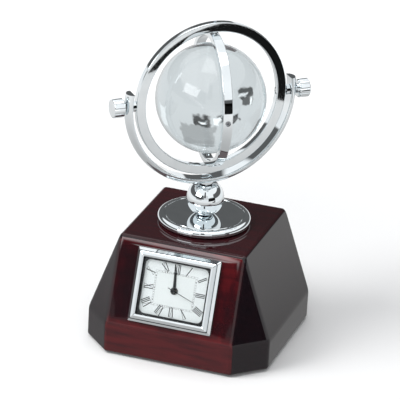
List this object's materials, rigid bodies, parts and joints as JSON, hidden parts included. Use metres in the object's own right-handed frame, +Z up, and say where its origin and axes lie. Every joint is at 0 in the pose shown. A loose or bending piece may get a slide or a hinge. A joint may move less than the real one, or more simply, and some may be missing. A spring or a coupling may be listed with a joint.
{
  "type": "crystal globe clock",
  "caption": "Desk clock: a clear globe spins in nested chrome rings on a swivel post above a lacquered wooden plinth with a battery clock set in its sloping front.",
  "frame": {"origin": "middle of the felt's underside, where the clock stands", "axes": "+Z up; the dial faces -Y; +X to the right of someone reading the dial"},
  "size_m": [0.103, 0.1049, 0.1783],
  "materials": {
    "chrome": "polished chrome plate",
    "lacquered_wood": "high-gloss rosewood lacquer",
    "felt": "dark green felt",
    "steel": "plain steel",
    "crystal": "clear optical crystal",
    "glass": "flat clear glass",
    "dial_card": "printed white card",
    "black": "satin black",
    "rubber": "soft black rubber",
    "case_plastic": "moulded dark grey",
    "nylon": "moulded natural nylon",
    "brass": "turned brass",
    "copper": "lacquered copper wire",
    "board": "green circuit laminate"
  },
  "bodies": {
    "plinth": {"plinth_block": "lacquered_wood", "plinth_felt": "felt", "fixing_bolt": "steel", "fixing_washer": "steel", "flange_disc": "chrome", "ball_post": "chrome", "swivel_screw": "chrome"},
    "cradle": {"cradle_arm": "chrome"},
    "tilt": {"tilt_ring": "chrome", "knob_left": "chrome", "knob_right": "chrome", "knob_spacer_left": "chrome", "knob_spacer_right": "chrome", "pivot_screw_top": "chrome", "pivot_screw_bottom": "chrome"},
    "meridian": {"meridian_ring": "chrome", "globe_pin_front": "steel", "globe_pin_back": "steel"},
    "globe": {"crystal_globe": "crystal"},
    "insert": {"clock_bezel": "chrome", "clock_glass": "glass", "dial_spacer": "black", "dial": "dial_card", "movement_case": "case_plastic", "grip_ring": "rubber", "main_plate": "case_plastic", "train_bridge": "case_plastic", "stator": "steel", "coil_core": "steel", "coil": "copper", "battery": "steel", "battery_contact_front": "brass", "battery_contact_back": "brass", "circuit_board": "board", "crystal_can": "steel", "timer_chip": "black", "back_cover": "case_plastic", "battery_hatch": "case_plastic"},
    "hour": {"hour_hand": "black", "hour_wheel": "nylon"},
    "minute": {"minute_hand": "black", "cannon_pinion": "brass"},
    "minute_wheel": {"minute_wheel": "nylon"},
    "setting": {"setting_knob": "case_plastic"},
    "second": {"second_hand": "black", "second_wheel": "nylon"},
    "centre": {"centre_wheel": "nylon"},
    "third": {"third_wheel": "nylon"},
    "intermediate": {"intermediate_wheel": "nylon"},
    "rotor": {"rotor": "steel"}
  },
  "joints": [
    {"name": "cradle_swivel", "type": "hinge", "parent": "plinth", "child": "cradle", "pos_m": [0, 0, 0.1353], "axis": [0, 0, 1], "continuous": true},
    {"name": "ring_tilt", "type": "hinge", "parent": "cradle", "child": "tilt", "pos_m": [0, 0, 0.1353], "axis": [0.7431, 0.6691, 0], "continuous": true},
    {"name": "meridian_turn", "type": "hinge", "parent": "tilt", "child": "meridian", "pos_m": [0, 0, 0.1353], "axis": [0, 0, 1], "continuous": true},
    {"name": "globe_spin", "type": "hinge", "parent": "meridian", "child": "globe", "pos_m": [0, 0, 0.1353], "axis": [0.5476, -0.8368, 0], "continuous": true},
    {"name": "insert_pull", "type": "slide", "parent": "plinth", "child": "insert", "axis": [0, -0.9427, 0.3336], "range_m": [0, 0.024]},
    {"name": "minute_hand_turn", "type": "hinge", "parent": "insert", "child": "minute", "pos_m": [0, -0.04333, 0.0406], "axis": [0, 0.9427, -0.3336], "continuous": true},
    {"name": "hour_hand_turn", "type": "hinge", "parent": "insert", "child": "hour", "pos_m": [0, -0.04333, 0.0406], "axis": [0, 0.9427, -0.3336], "continuous": true},
    {"name": "minute_wheel_turn", "type": "hinge", "parent": "insert", "child": "minute_wheel", "pos_m": [-0.0028, -0.04171, 0.04517], "axis": [0, 0.9427, -0.3336], "continuous": true},
    {"name": "setting_knob_turn", "type": "hinge", "parent": "insert", "child": "setting", "pos_m": [-0.00377, -0.03987, 0.05037], "axis": [0, 0.9427, -0.3336], "continuous": true},
    {"name": "second_hand_turn", "type": "hinge", "parent": "insert", "child": "second", "pos_m": [0, -0.04333, 0.0406], "axis": [0, 0.9427, -0.3336], "continuous": true},
    {"name": "centre_wheel_turn", "type": "hinge", "parent": "insert", "child": "centre", "pos_m": [0, -0.04333, 0.0406], "axis": [0, 0.9427, -0.3336], "continuous": true},
    {"name": "third_wheel_turn", "type": "hinge", "parent": "insert", "child": "third", "pos_m": [0.00507, -0.04271, 0.04234], "axis": [0, 0.9427, -0.3336], "continuous": true},
    {"name": "intermediate_wheel_turn", "type": "hinge", "parent": "insert", "child": "intermediate", "pos_m": [0.00087, -0.04449, 0.03731], "axis": [0, 0.9427, -0.3336], "continuous": true},
    {"name": "rotor_turn", "type": "hinge", "parent": "insert", "child": "rotor", "pos_m": [0, -0.04586, 0.03343], "axis": [0, 0.9427, -0.3336], "continuous": true}
  ],
  "couplings": [
    {"joint": "hour_hand_turn", "follows": "minute_hand_turn", "ratio": 0.083333},
    {"joint": "minute_wheel_turn", "follows": "minute_hand_turn", "ratio": -0.33333},
    {"joint": "setting_knob_turn", "follows": "minute_hand_turn", "ratio": 1},
    {"joint": "centre_wheel_turn", "follows": "second_hand_turn", "ratio": 0.016667},
    {"joint": "third_wheel_turn", "follows": "second_hand_turn", "ratio": -0.125},
    {"joint": "intermediate_wheel_turn", "follows": "second_hand_turn", "ratio": -5},
    {"joint": "rotor_turn", "follows": "second_hand_turn", "ratio": 30}
  ]
}
